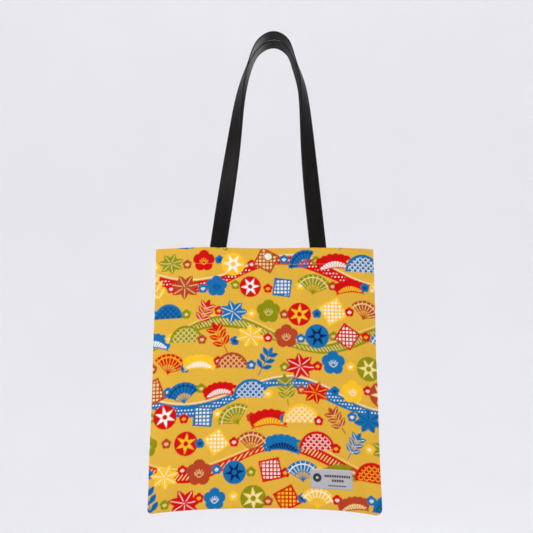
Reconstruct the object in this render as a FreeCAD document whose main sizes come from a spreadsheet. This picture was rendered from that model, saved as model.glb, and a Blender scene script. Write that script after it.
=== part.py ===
"""A flat cloth tote bag with two long flat handles and a press snap, hanging from one point.

Millimetres. X runs across the bag, Y from front to rear, Z up. The origin is the hang point: the
underside of the two handles, at the top of their loops and midway between them. The bag's walls are
divided at mid-height, where the bag folds in half.
"""

import FreeCAD, Part
import math
import os

import Sketcher

DRIVING_DIMENSIONS = [
    # the cloth body
    ("bag_centre_x", -12),
    ("bag_width", 320),
    ("bag_height", 367),
    ("handle_drop", 331),
    ("half_depth", 5),
    ("cloth", 0.8),
    ("side_roll", 20),
    ("seam_edge_depth", 1.2),
    ("fold_gap", 0.5),
    ("hem_depth", 25),
    ("layer_gap", 0.05),
    ("bottom_seam_height", 5),
    # the handles
    ("strap_width", 24),
    ("strap_thickness", 1.8),
    ("strap_left_x", -83),
    ("strap_right_x", 64.2),
    ("strap_end_length", 23),
    ("strap_spread", 10.4),
    ("strap_gap", 0.5),
    # the press snap
    ("snap_x", -9.5),
    ("snap_drop", 13),
    ("snap_cap_radius", 6.5),
    ("snap_cap_rise", 2.2),
    ("snap_shank_radius", 1.6),
    ("snap_flange", 0.6),
    ("socket_radius", 5.6),
    ("socket_rise", 4.1),
    ("ball_radius", 2.3),
    ("ball_offset", 0.2),
    ("neck_radius", 1.9),
    ("ring_radius", 2.75),
    ("ring_wire", 0.3),
    # the label and the sewing threads
    ("label_width", 58),
    ("label_height", 26.5),
    ("label_thickness", 0.5),
    ("label_side_inset", 39.6),
    ("label_rise", 28.4),
    ("thread", 0.5),
    ("stitch_inset", 1.5),
    # the face a strap or snap is fixed to, and a strap's middle, measured from the bag's middle plane
    ("inner_face", "=half_depth - 2 * cloth - 2 * layer_gap"),
    ("strap_depth", "=inner_face - strap_thickness / 2"),
]

# Middle line of a handle, seen from the front, up the left leg, over the hang point and down the right
# leg. Each point is its distance across and above the hang point. Both ends are at the hem.
LEFT_LEG = [
    (-83, -331),
    (-72, -248),
    (-59, -146.5),
    (-53, -99),
    (-46.4, -66),
    (-36, -33),
    (-21.5, -9),
]
RIGHT_LEG = [
    (18, -8),
    (30.6, -33),
    (41.1, -66),
    (46.1, -99),
    (49.5, -146.5),
    (56, -238),
    (64.2, -331),
]
STATIONS_PER_LEG = 12
STATION_CROWDING = 1.4  # stations stand closer together towards the top of the loop
TWIST_END = 0.96  # share of the handle's height where the strap has turned to lie along the hook
TWIST_POWER = 1.4


doc = FreeCAD.newDocument("tote_bag")
sheet = doc.addObject("Spreadsheet::Sheet", "Dimensions")
for row, (alias, value) in enumerate(DRIVING_DIMENSIONS, start=1):
    sheet.set(f"A{row}", alias)
    sheet.set(f"B{row}", str(value))
    sheet.setAlias(f"B{row}", alias)
doc.recompute()


def size(alias):
    """The value of one driving dimension."""
    return float(sheet.get(alias))


def bind(obj, bindings):
    """Bind properties of an object to expressions over the sheet's aliases, written with a leading #."""
    for path, expression in bindings.items():
        obj.setExpression(path, expression.replace("#", "Dimensions."))


HEM_Z = "-#handle_drop"
FOLD_Z = "-#handle_drop - #bag_height / 2"
BOTTOM_Z = "-#handle_drop - #bag_height"
RING_ARC = 330  # degrees of wire in the snap's open spring ring

sub_parts = []


def sub_part(obj, label):
    """Give an object the label that names its file."""
    obj.Label = label
    sub_parts.append(obj)
    return obj


def plane(body, role):
    """One of a body's own origin planes."""
    return next(f for f in body.Origin.OriginFeatures if f.Role == role)


def block(label, bindings):
    """A plain box whose sizes and place are bound to the sheet."""
    box = doc.addObject("Part::Box", label)
    bind(box, bindings)
    return sub_part(box, label)


# ------------------------------------------------------------------ cloth walls


def wall(label, facing, low_z, high_z):
    """One wall of the bag: flat, with its two side edges rolled in to meet the other wall.

    facing is -1 for the front wall and +1 for the rear wall.
    """
    body = doc.addObject("PartDesign::Body", label)
    sketch = body.newObject("Sketcher::SketchObject", label + "_section")
    sketch.AttachmentSupport = [(plane(body, "XY_Plane"), "")]
    sketch.MapMode = "FlatFace"

    half = size("bag_width") / 2
    flat = half - size("side_roll")
    depth = size("half_depth")
    inner_depth = depth - size("cloth")
    drop = depth - size("seam_edge_depth")
    radius = (size("side_roll") ** 2 + drop**2) / (2 * drop)
    sweep = math.asin(size("side_roll") / radius)
    inner_radius = radius - size("cloth")
    inner_sweep = math.asin(size("side_roll") / inner_radius)
    up = FreeCAD.Vector(0, 0, 1)

    def point(x, y):
        return FreeCAD.Vector(x, facing * y, 0)

    def roll(side, r, turn):
        """The rolled edge on one side, an arc tangent to the flat."""
        centre = point(side * flat, depth - radius)
        foot = math.pi / 2 * facing
        ends = sorted((foot, foot - side * facing * turn))
        return Part.ArcOfCircle(Part.Circle(centre, up, r), *ends)

    outer_flat = sketch.addGeometry(Part.LineSegment(point(-flat, depth), point(flat, depth)))
    inner_flat = sketch.addGeometry(Part.LineSegment(point(-flat, inner_depth), point(flat, inner_depth)))
    measures = [
        (("DistanceX", outer_flat, 1, outer_flat, 2, 2 * flat), "#bag_width - 2 * #side_roll"),
        (("DistanceY", -1, 1, outer_flat, 1, facing * depth), f"{facing} * #half_depth"),
        (("DistanceY", -1, 1, inner_flat, 1, facing * inner_depth), f"{facing} * (#half_depth - #cloth)"),
    ]
    for side, flat_end in ((-1, 1), (1, 2)):
        outer = sketch.addGeometry(roll(side, radius, sweep))
        inner = sketch.addGeometry(roll(side, inner_radius, inner_sweep))
        foot_end, edge_end = (2, 1) if side * facing > 0 else (1, 2)
        outer_y = depth - radius + radius * math.cos(sweep)
        inner_y = depth - radius + inner_radius * math.cos(inner_sweep)
        edge = sketch.addGeometry(Part.LineSegment(point(side * half, outer_y), point(side * half, inner_y)))
        sketch.addConstraint(
            [
                Sketcher.Constraint("Tangent", outer, foot_end, outer_flat, flat_end),
                Sketcher.Constraint("Tangent", inner, foot_end, inner_flat, flat_end),
                Sketcher.Constraint("Coincident", outer, 3, inner, 3),
                Sketcher.Constraint("Coincident", edge, 1, outer, edge_end),
                Sketcher.Constraint("Coincident", edge, 2, inner, edge_end),
                Sketcher.Constraint("Vertical", edge),
            ]
        )
        measures += [
            (("DistanceX", -1, 1, edge, 1, side * half), f"{side} * #bag_width / 2"),
            (("DistanceY", -1, 1, edge, 1, facing * (depth - drop)), f"{facing} * #seam_edge_depth"),
        ]
    sketch.addConstraint(Sketcher.Constraint("Symmetric", outer_flat, 1, outer_flat, 2, -2))
    for constraint, expression in measures:
        index = sketch.addConstraint(Sketcher.Constraint(*constraint))
        bind(sketch, {f"Constraints[{index}]": expression})

    pad = body.newObject("PartDesign::Pad", label + "_cloth")
    pad.Profile = sketch
    bind(pad, {"Length": f"({high_z}) - ({low_z})"})
    bind(body, {"Placement.Base.x": "#bag_centre_x", "Placement.Base.z": low_z})
    return sub_part(body, label)


def make_walls():
    for name, facing in (("front", -1), ("rear", 1)):
        wall(f"{name}_panel_upper", facing, f"{FOLD_Z} + #fold_gap", HEM_Z)
        wall(f"{name}_panel_lower", facing, BOTTOM_Z, f"{FOLD_Z} - #fold_gap")


def make_seams():
    """The turned-in hems at the mouth, and the folded allowances that close the bottom."""
    flat_width = "(#bag_width - 2 * #side_roll - 2)"
    front_y = "-#half_depth + #cloth + #layer_gap"
    rear_y = "#half_depth - 2 * #cloth - #layer_gap"
    for name, low_y in (("front", front_y), ("rear", rear_y)):
        block(
            f"{name}_hem",
            {
                "Length": flat_width,
                "Width": "#cloth",
                "Height": "#hem_depth",
                "Placement.Base.x": f"#bag_centre_x - {flat_width} / 2",
                "Placement.Base.y": low_y,
                "Placement.Base.z": f"{HEM_Z} - #hem_depth",
            },
        )
    inside = "(#half_depth - #cloth - #layer_gap)"
    block(
        "bottom_seam",
        {
            "Length": flat_width,
            "Width": f"2 * {inside}",
            "Height": "#bottom_seam_height",
            "Placement.Base.x": f"#bag_centre_x - {flat_width} / 2",
            "Placement.Base.y": f"-{inside}",
            "Placement.Base.z": BOTTOM_Z,
        },
    )


# ------------------------------------------------------------------ handles


def handle_stations():
    """Places along a handle, each with its direction, the turn of its width, and its side of the loop.

    The side is 1 on the left leg and -1 on the right leg. A strap ends level with the hem, so the first
    and last directions are upright.
    """
    start = (LEFT_LEG[0][0], LEFT_LEG[0][1] + size("strap_gap"))
    end = (RIGHT_LEG[-1][0], RIGHT_LEG[-1][1] + size("strap_gap"))
    top = (0, size("strap_thickness") / 2)
    points = [start] + LEFT_LEG[1:] + [top] + RIGHT_LEG[:-1] + [end]
    line = Part.BSplineCurve()
    line.interpolate([FreeCAD.Vector(x, 0, z) for x, z in points])
    apex = line.parameter(FreeCAD.Vector(top[0], 0, top[1]))
    middle = line.length(line.FirstParameter, apex)
    stations = []
    for step in range(-STATIONS_PER_LEG, STATIONS_PER_LEG + 1):
        share = abs(step / STATIONS_PER_LEG) ** STATION_CROWDING
        leg = middle if step < 0 else line.length() - middle
        distance = middle + math.copysign(share * leg, step)
        at = line.parameterAtDistance(distance, line.FirstParameter)
        place = line.value(at)
        height = 1 + min(place.z, 0) / size("handle_drop")
        turn = math.pi / 2 * min(1, height / TWIST_END) ** TWIST_POWER
        side = 1 if step <= 0 else -1
        along = line.tangent(at)[0]
        if abs(step) == STATIONS_PER_LEG:
            along = FreeCAD.Vector(0, 0, side)
        stations.append((place, along, turn, side))
    return stations


def strap_section(name):
    """The cross-section of a strap: a rectangle about its own origin."""
    section = doc.addObject("Sketcher::SketchObject", name)
    half_w = size("strap_width") / 2
    half_t = size("strap_thickness") / 2
    corners = [(-half_w, -half_t), (half_w, -half_t), (half_w, half_t), (-half_w, half_t)]
    for start, end in zip(corners, corners[1:] + corners[:1]):
        section.addGeometry(Part.LineSegment(FreeCAD.Vector(*start, 0), FreeCAD.Vector(*end, 0)))
    for edge in range(4):
        section.addConstraint(Sketcher.Constraint("Coincident", edge, 2, (edge + 1) % 4, 1))
        section.addConstraint(Sketcher.Constraint("Vertical" if edge % 2 else "Horizontal", edge))
    section.addConstraint(Sketcher.Constraint("Symmetric", 0, 1, 1, 2, -1, 1))
    for edge, kind, alias in ((0, "DistanceX", "strap_width"), (1, "DistanceY", "strap_thickness")):
        index = section.addConstraint(Sketcher.Constraint(kind, edge, 1, edge, 2, size(alias)))
        bind(section, {f"Constraints[{index}]": f"#{alias}"})
    return section


def handle(label, facing):
    """A flat strap, straight across the bag at the hem and turned front-to-rear over the hook."""
    sections = []
    for number, (place, along, turn, side) in enumerate(handle_stations()):
        section = strap_section(f"{label}_section_{number}")
        width = FreeCAD.Vector(side * math.cos(turn), facing * math.sin(turn), 0)
        width = (width - along * width.dot(along)).normalize()
        y = facing * (size("strap_depth") + size("strap_spread") * math.sin(turn))
        centre = FreeCAD.Vector(place.x, y, place.z)
        rotation = FreeCAD.Rotation(width, along.cross(width), along, "ZXY")
        section.Placement = FreeCAD.Placement(centre, rotation)
        sections.append(section)
    loft = doc.addObject("Part::Loft", label)
    loft.Sections = sections
    loft.Solid = True
    loft.Ruled = False
    return sub_part(loft, label)


def strap_ends(label, facing):
    """The two ends of a strap, sewn flat to the inside of the hem."""
    ends = []
    for leg in ("left", "right"):
        end = doc.addObject("Part::Box", f"{label}_{leg}")
        bind(
            end,
            {
                "Length": "#strap_width",
                "Width": "#strap_thickness",
                "Height": "#strap_end_length",
                "Placement.Base.x": f"#strap_{leg}_x - #strap_width / 2",
                "Placement.Base.y": f"{facing} * #strap_depth - #strap_thickness / 2",
                "Placement.Base.z": f"{HEM_Z} - #strap_end_length",
            },
        )
        ends.append(end)
    return group(label, ends)


def make_handles():
    for name, facing in (("front", -1), ("rear", 1)):
        handle(f"{name}_strap", facing)
        strap_ends(f"{name}_strap_ends", facing)


# ------------------------------------------------------------------ press snap


def snap_part(label, pieces, facing, base_y):
    """A round metal piece on the snap's axis, made along Z and turned to point out of its own wall."""
    fused = doc.addObject("Part::MultiFuse", label)
    fused.Shapes = pieces
    return on_snap_axis(fused, label, facing, base_y)


def on_snap_axis(obj, label, facing, base_y):
    """Turn a piece made along Z to point to the front or the rear, and put it on the snap's axis."""
    obj.Placement.Rotation = FreeCAD.Rotation(FreeCAD.Vector(1, 0, 0), -90 * facing)
    bind(
        obj,
        {
            "Placement.Base.x": "#snap_x",
            "Placement.Base.y": base_y,
            "Placement.Base.z": f"{HEM_Z} - #snap_drop",
        },
    )
    return sub_part(obj, label)


def disc(name, radius, low, height):
    """A cylinder on the Z axis."""
    cylinder = doc.addObject("Part::Cylinder", name)
    bind(cylinder, {"Radius": radius, "Height": height, "Placement.Base.z": low})
    return cylinder


def cap(label, facing, rise):
    """A domed cap outside the cloth, with the hollow shank that pierces it."""
    dome = doc.addObject("Part::Ellipsoid", label + "_dome")
    dome.Angle1 = 0
    bind(dome, {"Radius1": rise, "Radius2": "#snap_cap_radius", "Radius3": "#snap_cap_radius"})
    through = "2 * #cloth + 2 * #layer_gap"
    shank = disc(label + "_shank", "#snap_shank_radius", f"-({through})", f"{through} + {rise} / 2")
    return snap_part(label, [dome, shank], facing, f"{facing} * #half_depth")


def make_snap():
    cap("snap_cap", -1, "#snap_cap_rise")
    cap("snap_stud_cap", 1, "#snap_cap_rise / 2")

    cup = disc("socket_cup", "#socket_radius", "0", "#socket_rise")
    bore = disc("socket_bore", "#ring_radius + #ring_wire + #layer_gap", "#snap_flange", "#socket_rise")
    socket = doc.addObject("Part::Cut", "snap_socket")
    socket.Base = cup
    socket.Tool = bore
    on_snap_axis(socket, "snap_socket", 1, "-#inner_face")

    ring = doc.addObject("Part::Torus", "snap_spring")
    ring.Angle3 = RING_ARC
    bind(ring, {"Radius1": "#ring_radius", "Radius2": "#ring_wire"})
    on_snap_axis(ring, "snap_spring", 1, "-#inner_face + #socket_rise - 2 * #ring_wire")

    ball_height = "#inner_face + #ball_offset"
    flange = disc("stud_flange", "#socket_radius", "0", "#snap_flange")
    neck = disc("stud_neck", "#neck_radius", "0", ball_height)
    ball = doc.addObject("Part::Sphere", "stud_ball")
    bind(ball, {"Radius": "#ball_radius", "Placement.Base.z": ball_height})
    snap_part("snap_stud", [flange, neck, ball], -1, "#inner_face")


# ------------------------------------------------------------------ label and threads


def group(label, pieces):
    """Several separate solids in one sub-part."""
    compound = doc.addObject("Part::Compound", label)
    compound.Links = pieces
    return sub_part(compound, label)


def frame(name, width, height, low_x, low_y, low_z):
    """A rectangle of thread, lying in an XZ plane."""
    outer = doc.addObject("Part::Box", name + "_outer")
    inner = doc.addObject("Part::Box", name + "_inner")
    for box, inset in ((outer, "0"), (inner, "#thread")):
        bind(
            box,
            {
                "Length": f"{width} - 2 * {inset}",
                "Width": "#thread",
                "Height": f"{height} - 2 * {inset}",
                "Placement.Base.x": f"{low_x} + {inset}",
                "Placement.Base.y": low_y,
                "Placement.Base.z": f"{low_z} + {inset}",
            },
        )
    ring = doc.addObject("Part::Cut", name)
    ring.Base = outer
    ring.Tool = inner
    return ring


def make_label():
    low_x = "#bag_centre_x + #bag_width / 2 - #label_side_inset - #label_width"
    low_z = f"{BOTTOM_Z} + #label_rise"
    block(
        "label",
        {
            "Length": "#label_width",
            "Width": "#label_thickness",
            "Height": "#label_height",
            "Placement.Base.x": low_x,
            "Placement.Base.y": "-#half_depth - #label_thickness",
            "Placement.Base.z": low_z,
        },
    )
    thread = frame(
        "label_thread",
        "#label_width - 2 * #stitch_inset",
        "#label_height - 2 * #stitch_inset",
        f"{low_x} + #stitch_inset",
        "-#half_depth - #label_thickness - #thread",
        f"{low_z} + #stitch_inset",
    )
    sub_part(thread, "label_thread")


def make_threads():
    """The row of stitches that holds each hem down, and the sewn rectangle on each strap end."""
    row = "(#bag_width - 2 * #side_roll)"
    for name, low_y in (("front", "-#half_depth - #thread"), ("rear", "#half_depth")):
        block(
            f"{name}_hem_thread",
            {
                "Length": row,
                "Width": "#thread",
                "Height": "#thread",
                "Placement.Base.x": f"#bag_centre_x - {row} / 2",
                "Placement.Base.y": low_y,
                "Placement.Base.z": f"{HEM_Z} - #hem_depth + #stitch_inset",
            },
        )
    inside = "(#strap_depth - #strap_thickness / 2)"
    for name, low_y in (("front", f"-{inside}"), ("rear", f"{inside} - #thread")):
        frames = [
            frame(
                f"{name}_{leg}_box",
                "#strap_width - 2 * #stitch_inset",
                "#strap_end_length - 2 * #stitch_inset",
                f"#strap_{leg}_x - #strap_width / 2 + #stitch_inset",
                low_y,
                f"{HEM_Z} - #strap_end_length + #stitch_inset",
            )
            for leg in ("left", "right")
        ]
        group(f"{name}_strap_threads", frames)


# ------------------------------------------------------------------ build, check and write


def check_document():
    """Stop if an object has failed or a sub-part has no valid solid."""
    for obj in doc.Objects:
        failed = {"Invalid", "Error"} & set(obj.State)
        if failed:
            raise RuntimeError(f"{obj.Name} is {failed}")
    for obj in sub_parts:
        shape = obj.Shape
        if shape.isNull() or not shape.isValid() or not shape.Solids:
            raise RuntimeError(f"{obj.Label} has no valid solid")


def check_strap(strap):
    """Compare a strap's volume with its section times the length of its middle line."""
    places = [section.Placement.Base for section in strap.Sections]
    length = sum((b - a).Length for a, b in zip(places, places[1:]))
    expected = length * size("strap_width") * size("strap_thickness")
    share = strap.Shape.Volume / expected
    print(f"{strap.Label}: {length:.0f} mm long, volume {share:.3f} of its section's")


make_walls()
make_seams()
make_handles()
make_snap()
make_label()
make_threads()
doc.recompute()
check_document()
for strap in sub_parts:
    if strap.Label in ("front_strap", "rear_strap"):
        check_strap(strap)
os.makedirs("parts", exist_ok=True)
for obj in sub_parts:
    obj.Shape.exportStep(f"parts/{obj.Label}.step")
    box = obj.Shape.BoundBox
    solids = len(obj.Shape.Solids)
    print(f"{obj.Label}: {solids} solid(s), y {box.YMin:.2f} to {box.YMax:.2f}, z from {box.ZMin:.2f}")
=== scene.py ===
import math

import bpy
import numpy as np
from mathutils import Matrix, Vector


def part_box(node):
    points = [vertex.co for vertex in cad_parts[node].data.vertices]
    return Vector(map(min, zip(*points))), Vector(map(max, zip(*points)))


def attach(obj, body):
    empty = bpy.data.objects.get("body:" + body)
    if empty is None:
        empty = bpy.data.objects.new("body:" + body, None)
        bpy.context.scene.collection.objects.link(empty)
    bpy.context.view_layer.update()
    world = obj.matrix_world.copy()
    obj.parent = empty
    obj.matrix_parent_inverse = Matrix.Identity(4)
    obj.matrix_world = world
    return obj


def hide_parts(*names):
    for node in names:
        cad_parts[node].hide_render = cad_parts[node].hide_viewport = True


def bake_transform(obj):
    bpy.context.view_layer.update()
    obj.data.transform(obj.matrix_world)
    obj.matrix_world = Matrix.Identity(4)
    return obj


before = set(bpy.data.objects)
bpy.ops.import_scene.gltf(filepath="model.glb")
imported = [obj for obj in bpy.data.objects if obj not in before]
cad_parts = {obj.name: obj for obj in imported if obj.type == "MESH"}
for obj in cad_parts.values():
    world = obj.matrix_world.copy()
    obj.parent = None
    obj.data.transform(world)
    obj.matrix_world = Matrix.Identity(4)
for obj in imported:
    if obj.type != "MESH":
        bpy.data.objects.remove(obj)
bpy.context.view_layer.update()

# Looks of a flat tote bag of printed cotton that hangs from one point by two long flat handles.
#
# Lengths are in millimetres until a mesh is made. u runs across the bag from its left edge and v
# runs down from its mouth; -1 stands for the front wall and the front handle, and 1 for the rear ones.

MM = 0.001


def corners(bounds):
    """The low and high corners of a box, in millimetres."""
    return [np.array(corner) / MM for corner in bounds]


def metres(x, y, z):
    return (x * MM, y * MM, z * MM)


UPPER_LOW, UPPER_HIGH = corners(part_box("front_panel_upper"))
LOWER_LOW, LOWER_HIGH = corners(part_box("front_panel_lower"))
LEFT_X = UPPER_LOW[0]
CENTRE_X = (UPPER_LOW[0] + UPPER_HIGH[0]) / 2
MOUTH_Z = UPPER_HIGH[2]
FOLD_Z = (UPPER_LOW[2] + LOWER_HIGH[2]) / 2
WIDTH = UPPER_HIGH[0] - UPPER_LOW[0]
HEIGHT = MOUTH_Z - LOWER_LOW[2]
HALF_DEPTH = -UPPER_LOW[1]
FOLD_V = MOUTH_Z - FOLD_Z
HEM_DEPTH = MOUTH_Z - corners(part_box("front_hem"))[0][2]
SEWN_END = MOUTH_Z - corners(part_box("front_strap_ends"))[0][2]  # how far a strap runs down inside the hem
WALLS = {"front": -1, "rear": 1}

# ------------------------------------------------------------------ the print on the cloth
#
# Places in the print are in millimetres: u from the bag's left edge, v down from its mouth.

EDGE = 0.65  # width of the soft edge where one ink meets another
FAR = 1e9


def ink(red, green, blue):
    """A screen colour, 0 to 255, as the linear colour that a shader takes."""
    share = np.array([red, green, blue]) / 255
    return np.where(share <= 0.04045, share / 12.92, ((share + 0.055) / 1.055) ** 2.4)


GROUND = ink(222, 174, 58)
RED = ink(206, 6, 6)
BLUE = ink(16, 108, 166)
NAVY = ink(8, 32, 92)
OLIVE = ink(138, 138, 4)
YELLOW = ink(246, 192, 38)
BROWN = ink(178, 64, 34)
WHITE = ink(244, 240, 230)
CREAM = ink(244, 216, 140)


def segment_distance(points, start, end):
    """Distance of each point from a segment, and how far along it the nearest place is."""
    run = end - start
    length = max(np.hypot(*run), 1e-6)
    share = np.clip((points - start) @ run / length**2, 0, 1)
    return np.linalg.norm(points - start - share[:, None] * run, axis=1), share * length


def smooth(points, steps=7):
    """A rounded line through a few points."""
    p = np.array(points, float)
    q = np.concatenate([2 * p[:1] - p[1:2], p, 2 * p[-1:] - p[-2:-1]])
    t = np.linspace(0, 1, steps, endpoint=False)[:, None]
    out = []
    for a, b, c, d in zip(q, q[1:], q[2:], q[3:]):
        bend = (2 * a - 5 * b + 4 * c - d) * t**2 + (3 * b - a - 3 * c + d) * t**3
        out.append(0.5 * (2 * b + (c - a) * t + bend))
    return np.concatenate([*out, p[-1:]])


def towards(degrees):
    """A direction in the print, in degrees clockwise from straight up."""
    return np.array([math.sin(math.radians(degrees)), -math.cos(math.radians(degrees))])


# A pattern gives each place's distance from its marks, below zero inside them.


def dots(pitch, radius):
    """Rows of dots, each row half a pitch along from the one above."""

    def pattern(u, v):
        row = np.floor(v / pitch)
        across = (u + row * pitch / 2) % pitch - pitch / 2
        return np.hypot(across, v % pitch - pitch / 2) - radius

    return pattern


def stripes(pitch, width, angle):
    """Even parallel lines."""

    def pattern(u, v):
        across = v * math.cos(angle) - u * math.sin(angle)
        return np.abs(across % pitch - pitch / 2) - width / 2

    return pattern


def scales(pitch, width):
    """Rows of half rings, each row over the one behind."""
    ring = 0.4 * pitch

    def pattern(u, v):
        row = np.floor(v / (pitch / 2))
        across = (u + row * pitch / 2) % pitch - pitch / 2
        return np.abs(np.hypot(across, v % (pitch / 2)) - ring) - width / 2

    return pattern


def windows(pitch, half):
    """A grid of squares."""

    def pattern(u, v):
        return np.maximum(np.abs(u % pitch - pitch / 2), np.abs(v % pitch - pitch / 2)) - half

    return pattern


class Print:
    """Inks laid over a cloth, one colour for each of its points."""

    def __init__(self, u, v):
        self.points = np.stack([u, v], 1)
        self.colour = np.tile(GROUND, (len(u), 1))

    def near(self, points, reach):
        """Which of the cloth's points lie in the box round some places."""
        low, high = np.min(points, 0) - reach, np.max(points, 0) + reach
        return np.flatnonzero(((self.points > low) & (self.points < high)).all(1))

    def lay(self, where, distance, colour, pattern=None):
        """Ink the points that lie inside a shape, where the distance from its outline is below zero."""
        if pattern is not None:
            distance = np.maximum(distance, pattern(*self.points[where].T))
        cover = np.clip(0.5 - distance / EDGE, 0, 1)[:, None]
        self.colour[where] += cover * (colour - self.colour[where])

    def fill(self, points, colour, pattern=None):
        """A filled outline."""
        points = np.array(points, float)
        where = self.near(points, EDGE)
        at = self.points[where]
        nearest = np.full(len(at), FAR)
        inside = np.zeros(len(at), bool)
        for a, b in zip(points, np.roll(points, -1, 0)):
            nearest = np.minimum(nearest, segment_distance(at, a, b)[0])
            if a[1] != b[1]:
                cross = a[0] + (at[:, 1] - a[1]) * (b[0] - a[0]) / (b[1] - a[1])
                inside ^= ((a[1] > at[:, 1]) != (b[1] > at[:, 1])) & (at[:, 0] < cross)
        self.lay(where, np.where(inside, -nearest, nearest), colour, pattern)

    def line(self, points, width, colour, dash=None):
        """A line through the points; dash is the pitch and length of its strokes."""
        points = np.array(points, float)
        where = self.near(points, width / 2 + EDGE)
        at = self.points[where]
        runs = np.linalg.norm(np.diff(points, axis=0), axis=1)
        starts = np.concatenate([[0], np.cumsum(runs)])
        nearest, along = np.full(len(at), FAR), np.zeros(len(at))
        for a, b, start in zip(points, points[1:], starts):
            distance, share = segment_distance(at, a, b)
            closer = distance < nearest
            nearest = np.where(closer, distance, nearest)
            along = np.where(closer, start + share, along)
        distance = nearest - width / 2
        if dash is not None:
            pitch, stroke = dash
            distance = np.maximum(distance, np.abs(along % pitch - pitch / 2) - stroke / 2)
        self.lay(where, distance, colour)

    def blob(self, centre, radii, colour, lobes=0, dip=0.0, tip=1.0):
        """A round shape, or one with lobes: dip is how far the outline falls between them, and a low
        tip makes them rounder."""
        rx, ry = radii if hasattr(radii, "__len__") else (radii, radii)
        where = self.near([(centre[0] - rx, centre[1] - ry), (centre[0] + rx, centre[1] + ry)], EDGE)
        x, y = ((self.points[where] - centre) / (rx, ry)).T
        outline = 1 - dip * (1 - np.abs(np.cos(lobes * np.arctan2(x, -y) / 2)) ** tip)
        self.lay(where, (np.hypot(x, y) - outline) * min(rx, ry), colour)

    def rays(self, centre, radii, angles, count, width, colour):
        """Strokes out from a centre, between two radii and two angles."""
        for degrees in np.linspace(*angles, count):
            way = towards(degrees)
            self.line([centre + radii[0] * way, centre + radii[1] * way], width, colour)


def leaf(p, start, end, half, colour, lean=1.0):
    """A long pointed leaf; lean above 1 puts its widest place nearer its end."""
    run = end - start
    side = np.array([-run[1], run[0]]) / np.hypot(*run)
    t = np.linspace(0, 1, 14)
    swell = (half * np.sin(math.pi * t**lean))[:, None] * side
    middle = start + t[:, None] * run
    p.fill(np.concatenate([middle + swell, (middle - swell)[::-1]]), colour)


# Each ornament takes its centre, its rough radius, its two inks and how far it is turned, in degrees.


def blossom(p, centre, radius, colour, trim, turn=0):
    """A five-petalled blossom with its stamens; it always stands upright."""
    radius = BLOSSOM_SHARE * radius
    p.blob(centre, radius, colour, lobes=5, dip=0.24, tip=0.6)
    p.rays(centre + (0, 0.18 * radius), (0.14 * radius, 0.42 * radius), (-58, 58), 5, 0.8, trim)
    cup = np.array([(-0.34, 0.1), (0, 0.34), (0.34, 0.1)])
    p.line(smooth(centre + radius * cup), 0.9, trim)


def fan(p, centre, radius, colour, trim, turn):
    """An open folding fan: a pleated leaf over bare ribs."""
    pivot = centre - 0.55 * radius * towards(turn)
    spread = np.linspace(turn - FAN_HALF, turn + FAN_HALF, 17)
    reach = 1.3 * radius

    def arc(share, angles):
        return [pivot + share * reach * towards(degrees) for degrees in angles]

    p.rays(pivot, (0, 0.5 * reach), (spread[0], spread[-1]), 7, 1.2, colour)
    p.fill(arc(1, spread) + arc(0.45, spread[::-1]), colour)
    p.rays(pivot, (0.5 * reach, 0.95 * reach), (spread[1], spread[-2]), 8, 0.9, trim)
    p.line(arc(0.82, spread), 1.5, trim)
    p.blob(pivot, 1.8, colour)


def sprig(p, centre, radius, colour, trim, turn):
    """A stem with pairs of pointed leaves."""
    stem = radius * towards(turn)
    p.line([centre - stem, centre + 0.8 * stem], 1.3, colour)
    for share in (-0.5, -0.05, 0.4):
        for side in (-52, 52):
            base = centre + share * stem
            blade = 0.72 * radius * towards(turn + side)
            leaf(p, base, base + blade, 0.17 * radius, colour)
            p.line([base, base + 0.8 * blade], 0.8, trim)
    leaf(p, centre + 0.5 * stem, centre + 1.1 * stem, 0.15 * radius, colour)


def ball(p, centre, radius, colour, trim, turn):
    """A round ball crossed by leaf-shaped bands."""
    p.blob(centre, 0.8 * radius, colour)
    for degrees in (turn, turn + 60, turn + 120):
        way = 0.72 * radius * towards(degrees)
        leaf(p, centre - way, centre + way, 0.15 * radius, trim)
    p.blob(centre, 0.17 * radius, colour)


def crown(p, centre, radius, colour, trim, turn):
    """A cloud-shaped pine crown that arches over its fan of needles; it leans by a third of the turn."""
    wide, high = 1.15 * radius, 0.62 * radius
    across, down = wide * towards(turn / 3 + 90), high * towards(turn / 3 + 180)

    def arc(width, bow, height, shares):
        return [centre + width * x * across + (bow * x * x + height) * down for x in shares]

    shares = np.linspace(-1, 1, 15)
    for puff in arc(1, 0.62, -0.42, (-0.74, -0.46, -0.16, 0.16, 0.46, 0.74)):
        p.blob(puff, (0.25 * wide, 0.5 * high), colour)
    p.fill(arc(0.98, 0.75, -0.45, shares) + arc(0.86, 0.25, 0.52, shares[::-1]), colour)
    p.fill(arc(0.8, 0.62, -0.08, shares) + arc(0.66, 0.2, 0.56, shares[::-1]), trim)
    needles = np.linspace(-1, 1, 11)
    for inner, outer in zip(arc(0.46, 0.12, 0.62, needles), arc(0.88, 0.66, -0.16, needles)):
        p.line([inner, outer], 0.9, colour)
    p.line(arc(0.9, 0.32, 0.56, shares), 1.3, colour)


def star_leaf(p, centre, radius, colour, trim, turn):
    """A leaf of seven pointed lobes, each with a rib, a little wider than high."""
    for degrees in turn + np.arange(7) * 360 / 7:
        way = radius * towards(degrees) * (1, 0.8)
        leaf(p, centre - 0.1 * way, centre + way, 0.24 * radius, colour, lean=1.1)
        p.line([centre, centre + 0.84 * way], 0.9, trim)


def tile(p, centre, radius, colour, trim, turn):
    """A tilted square with a grid of small squares."""
    for share, shade, pattern in ((0.95, colour, None), (0.78, trim, windows(5.2, 1.6))):
        outline = [centre + share * radius * towards(turn + quarter) for quarter in (45, 135, 225, 315)]
        p.fill(outline, shade, pattern)


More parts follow.
